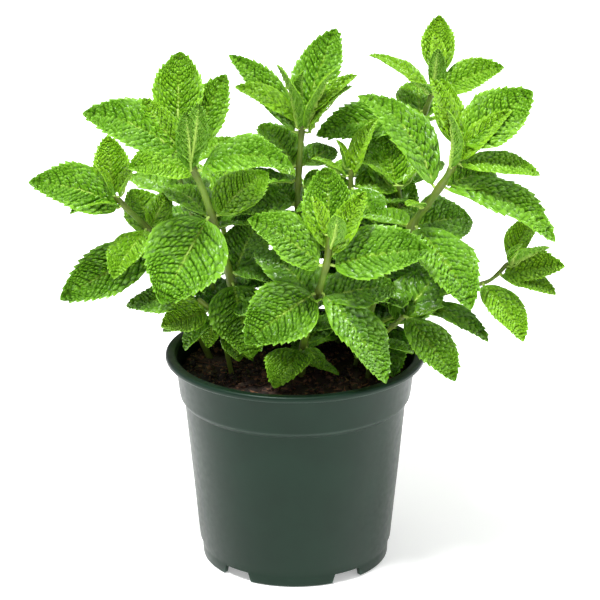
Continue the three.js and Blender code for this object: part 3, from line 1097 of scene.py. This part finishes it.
def make_pot():
    """The moulded pot: a spun wall, a floor with drain holes, and five feet."""
    centre = Vector((POT_MIDDLE.x, POT_MIDDLE.y, 0))
    profile = [Vector((r * MM, 0, z * MM)) + centre for r, z in pot_profile()]
    piece = mesh_piece([list(p) for p in profile], [], [POT_PLASTIC])
    work = bmesh.new()
    work.from_mesh(piece.data)
    work.verts.ensure_lookup_table()
    for a, b in zip(work.verts[:-1], work.verts[1:]):
        work.edges.new((a, b))
    work.to_mesh(piece.data)
    work.free()
    pick(piece)
    bpy.ops.object.mode_set(mode="EDIT")
    bpy.ops.mesh.select_all(action="SELECT")
    bpy.ops.mesh.spin(steps=POT_STEPS, angle=2 * math.pi, center=centre, axis=(0, 0, 1))
    bpy.ops.mesh.select_all(action="SELECT")
    bpy.ops.mesh.remove_doubles(threshold=0.02 * MM)
    bpy.ops.object.mode_set(mode="OBJECT")
    close_floor(piece)
    pick(piece)
    bpy.ops.object.mode_set(mode="EDIT")
    bpy.ops.mesh.select_all(action="SELECT")
    bpy.ops.mesh.normals_make_consistent(inside=False)
    bpy.ops.object.mode_set(mode="OBJECT")
    draw_feet(piece, centre)
    drill_floor(piece, centre)
    add_modifier(
        piece,
        "BEVEL",
        width=EDGE_ROUND * MM,
        segments=3,
        limit_method="ANGLE",
        angle_limit=math.radians(28),
    )
    finish_piece(piece, "mint_pot", "pot", "pot", smooth_angle=35)


def close_floor(piece):
    """Fills the two open rings, under the base and on top of the floor."""
    work = bmesh.new()
    work.from_mesh(piece.data)
    open_edges = [e for e in work.edges if e.is_boundary]
    middle = (FLOOR_Z + FLOOR_THICKNESS / 2) * MM
    for lowest in (True, False):
        ring = [e for e in open_edges if (e.verts[0].co.z < middle) == lowest]
        fill = bmesh.ops.contextual_create(work, geom=ring)["faces"]
        bmesh.ops.inset_region(work, faces=fill, thickness=DISC_INSET * MM)
    work.to_mesh(piece.data)
    work.free()


def draw_feet(piece, centre):
    """Extrudes five feet down from the ring under the wall, leaving the gaps between them."""
    work = bmesh.new()
    work.from_mesh(piece.data)
    rim = (POT_HIGH.x - POT_LOW.x) / 2
    middle = rim - (BASE_INSET + FOOT_WALL / 2) * MM
    step = 2 * math.pi / FOOT_COUNT

    def from_gap(point):
        """How far round from the last gap's middle a point is, in radians."""
        angle = math.atan2(point.y - centre.y, point.x - centre.x) - math.radians(FOOT_TURN)
        return (angle - step / 2) % step

    ring = []
    for face in work.faces:
        at = face.calc_center_median()
        flat = math.hypot(at.x - centre.x, at.y - centre.y)
        under_wall = abs(flat - middle) < 1.2 * MM and abs(at.z - FLOOR_Z * MM) < 0.1 * MM
        if face.normal.z < -0.9 and under_wall:
            gap = from_gap(at)
            if math.radians(NOTCH_HALF) < gap < step - math.radians(NOTCH_HALF):
                ring.append(face)
    grown = bmesh.ops.extrude_face_region(work, geom=ring)["geom"]
    low = [v for v in grown if isinstance(v, bmesh.types.BMVert)]
    bmesh.ops.delete(work, geom=ring, context="FACES")
    for vertex in low:
        gap = from_gap(vertex.co) - step / 2
        shift = gap * (FOOT_TAPER - 1)
        x, y = vertex.co.x - centre.x, vertex.co.y - centre.y
        vertex.co.x = centre.x + (x * math.cos(shift) - y * math.sin(shift)) * FOOT_DRAFT
        vertex.co.y = centre.y + (x * math.sin(shift) + y * math.cos(shift)) * FOOT_DRAFT
        vertex.co.z = 0
    work.to_mesh(piece.data)
    work.free()


def drill_floor(piece, centre):
    """Eight round drain holes through the floor."""
    clear_selection()
    drills = []
    for hole in range(DRAIN_COUNT):
        angle = (hole + 0.5) * 2 * math.pi / DRAIN_COUNT
        place = centre + Vector((math.cos(angle), math.sin(angle), 0)) * DRAIN_CIRCLE * MM
        place.z = FLOOR_Z * MM
        bpy.ops.mesh.primitive_cylinder_add(
            vertices=24, radius=DRAIN_RADIUS * MM, depth=DRILL_DEPTH * MM, location=place
        )
        drills.append(bpy.context.object)
    clear_selection()
    for drill in drills:
        drill.select_set(True)
    bpy.context.view_layer.objects.active = drills[0]
    bpy.ops.object.join()
    drill = bpy.context.object
    add_modifier(piece, "BOOLEAN", object=drill, operation="DIFFERENCE", solver="EXACT")
    bpy.data.objects.remove(drill)


# ---------------------------------------------------------------- soil


def soil_height(x, y):
    """The soil's lumpy surface above its edge, at a place measured from the pot's axis."""
    flat = math.hypot(x, y) / (SOIL_HIGH.x - SOIL_LOW.x) * 2
    lump = 2.4 * noise.noise(Vector((x, y, 0)) * 70) + 1.6 * noise.noise(Vector((x, y, 3)) * 190)
    crumb = 0.9 * abs(noise.noise(Vector((x, y, 7)) * 420))
    return (BED_DOME * (1 - flat**2) + lump + crumb) * MM


def make_soil():
    """A lumpy bed, crumbs lying on it, and fibres of bark."""
    radius = (SOIL_HIGH.x - SOIL_LOW.x) / 2 + BED_OVERLAP * MM
    edge = SOIL_HIGH.z - BED_DROP * MM
    centre = Vector((POT_MIDDLE.x, POT_MIDDLE.y, 0))
    clear_selection()
    bpy.ops.mesh.primitive_circle_add(
        vertices=120, radius=radius, fill_type="NGON", location=centre + Vector((0, 0, edge))
    )
    piece = bpy.context.object
    bpy.ops.object.mode_set(mode="EDIT")
    for _ in range(BED_RINGS):
        bpy.ops.mesh.inset(thickness=radius / (BED_RINGS + 2), depth=0)
    bpy.ops.mesh.select_all(action="DESELECT")
    bpy.ops.object.mode_set(mode="OBJECT")
    bpy.ops.object.transform_apply(location=True)
    piece.data.materials.append(SOIL_DARK)
    for vertex in piece.data.vertices:
        x, y = vertex.co.x - centre.x, vertex.co.y - centre.y
        vertex.co.z = edge + soil_height(x, y)
    pick(piece)
    bpy.ops.object.mode_set(mode="EDIT")
    bpy.ops.mesh.select_all(action="SELECT")
    bpy.ops.mesh.extrude_region_move(TRANSFORM_OT_translate={"value": (0, 0, -BED_DEPTH * MM)})
    bpy.ops.object.mode_set(mode="OBJECT")
    work = bmesh.new()
    work.from_mesh(piece.data)
    bmesh.ops.recalc_face_normals(work, faces=work.faces)
    work.to_mesh(piece.data)
    work.free()
    finish_piece(piece, "soil_bed", "soil", "soil", smooth_angle=50)
    scatter(centre, radius, edge)


def scatter(centre, radius, edge):
    """Crumbs and fibres lying over the bed."""
    rng = random.Random(SEED + 5)
    crumbs, fibres = ([], []), ([], [])
    for _ in range(CRUMB_COUNT):
        place, lift = soil_spot(rng, centre, radius, edge)
        size = rng.choice(CRUMB_SIZES) * MM
        add_crumb(crumbs, place + Vector((0, 0, lift + 0.3 * size)), size, rng)
    for _ in range(FIBRE_COUNT):
        place, lift = soil_spot(rng, centre, radius * 0.95, edge)
        add_fibre(fibres, place + Vector((0, 0, lift + 0.8 * MM)), rng)
    earth_or_bark = [0 if rng.random() < EARTH_SHARE else 1 for _ in crumbs[1]]
    piece = mesh_piece(*crumbs, [SOIL_DARK, BARK], earth_or_bark)
    finish_piece(piece, "soil_crumbs", "soil")
    finish_piece(mesh_piece(*fibres, [BARK]), "bark_fibres", "soil")


def soil_spot(rng, centre, radius, edge):
    """A chance place on the level of the bed's edge, and the bed's height over it."""
    angle = rng.uniform(0, 2 * math.pi)
    reach = radius * 0.98 * math.sqrt(rng.random())
    x, y = reach * math.cos(angle), reach * math.sin(angle)
    return centre + Vector((x, y, edge)), soil_height(x, y)


def crumb_shape():
    """The points and faces of a plain crumb, 1 m in radius."""
    clear_selection()
    bpy.ops.mesh.primitive_ico_sphere_add(subdivisions=1, radius=1)
    ball = bpy.context.object
    points = [vertex.co.copy() for vertex in ball.data.vertices]
    faces = [list(face.vertices) for face in ball.data.polygons]
    bpy.data.objects.remove(ball)
    return points, faces


CRUMB = crumb_shape()


def add_crumb(crumbs, place, size, rng):
    """A lump of earth with uneven corners."""
    stretch = Vector((rng.uniform(0.7, 1.3), rng.uniform(0.7, 1.3), rng.uniform(0.5, 0.9)))
    base = len(crumbs[0])
    for point in CRUMB[0]:
        crumbs[0].append(place + point * stretch * size * rng.uniform(0.8, 1.2))
    crumbs[1].extend([[i + base for i in face] for face in CRUMB[1]])


def add_fibre(fibres, place, rng):
    """A short bent splinter of bark."""
    angle = rng.uniform(0, math.pi)
    ahead = Vector((math.cos(angle), math.sin(angle), rng.uniform(-0.12, 0.25)))
    bend = Vector((-math.sin(angle), math.cos(angle), 0)) * rng.uniform(-0.25, 0.25)
    length = rng.uniform(3, 11) * MM
    thick = rng.uniform(0.3, 0.75) * MM
    line = [place + ahead * length * t + bend * length * t * t for t in (-0.5, -0.2, 0.15, 0.5)]
    points, faces = tube(line, [thick * 0.5, thick, thick * 0.9, thick * 0.4], 5)
    base = len(fibres[0])
    fibres[0].extend(points)
    fibres[1].extend([[i + base for i in face] for face in faces])


# ---------------------------------------------------------------- studio


def sun_light(name, place, spread, strength, aim):
    """A distant lamp, spread over some degrees of sky."""
    light = bpy.data.lights.new(name, "SUN")
    light.energy = strength
    light.angle = math.radians(spread)
    hang_lamp(name, light, place, aim)


def area_light(name, place, size, power, aim):
    """A square lamp close by."""
    light = bpy.data.lights.new(name, "AREA")
    light.energy = power
    light.size = size
    hang_lamp(name, light, place, aim)


def hang_lamp(name, light, place, aim):
    """Puts a lamp at its place, shining towards the aim."""
    lamp = bpy.data.objects.new(name, light)
    lamp.location = place
    lamp.rotation_euler = (aim - Vector(place)).to_track_quat("-Z", "Y").to_euler()
    bpy.context.collection.objects.link(lamp)


def make_studio():
    """A white floor, white air and three lamps."""
    clear_selection()
    bpy.ops.mesh.primitive_plane_add(size=FLOOR_SIZE, location=(0, 0, -0.0005))
    floor = bpy.context.object
    floor.name = "studio_floor"
    material, nodes, shader = new_material("studio_floor_white")
    fine = grain(nodes, 30)
    nodes.link(
        nodes.mix((0.93, 0.93, 0.93, 1), (0.96, 0.96, 0.96, 1), fine.outputs["Patches"]),
        shader.inputs["Base Color"],
    )
    shader.inputs["Roughness"].default_value = 0.9
    shader.inputs["Specular IOR Level"].default_value = 0
    shader.inputs["Emission Color"].default_value = (1, 1, 1, 1)
    shader.inputs["Emission Strength"].default_value = FLOOR_GLOW
    floor.data.materials.append(material)
    world = bpy.data.worlds.new("studio_air")
    world.use_nodes = True
    air = world.node_tree
    rays = air.nodes.new("ShaderNodeLightPath")
    strength = air.nodes.new("ShaderNodeMapRange")
    strength.inputs["To Min"].default_value = AIR_LIGHT
    strength.inputs["To Max"].default_value = 1
    air.links.new(rays.outputs["Is Camera Ray"], strength.inputs["Value"])
    background = air.nodes["Background"]
    background.inputs["Color"].default_value = (1, 1, 1, 1)
    air.links.new(strength.outputs["Result"], background.inputs["Strength"])
    bpy.context.scene.world = world
    aim = Vector((POT_MIDDLE.x, POT_MIDDLE.y, AIM_HEIGHT))
    sun_light("key", *KEY_LAMP, aim)
    sun_light("top", *TOP_LAMP, aim)
    area_light("fill", *FILL_LAMP, aim)


def make_camera():
    """A long lens a little above the plant, looking down at it."""
    camera = bpy.data.objects.new("camera", bpy.data.cameras.new("camera"))
    camera.data.lens = CAMERA_LENS
    camera.data.clip_end = CAMERA_REACH
    camera.location = Vector((POT_MIDDLE.x, POT_MIDDLE.y, 0)) + CAMERA_FROM_POT
    camera.rotation_euler = (CAMERA_TILT, 0, 0)
    bpy.context.collection.objects.link(camera)
    bpy.context.scene.camera = camera
    bpy.context.scene.view_settings.view_transform = "Standard"


make_camera()
make_studio()
make_pot()
make_soil()
grow_plant()
clear_selection()
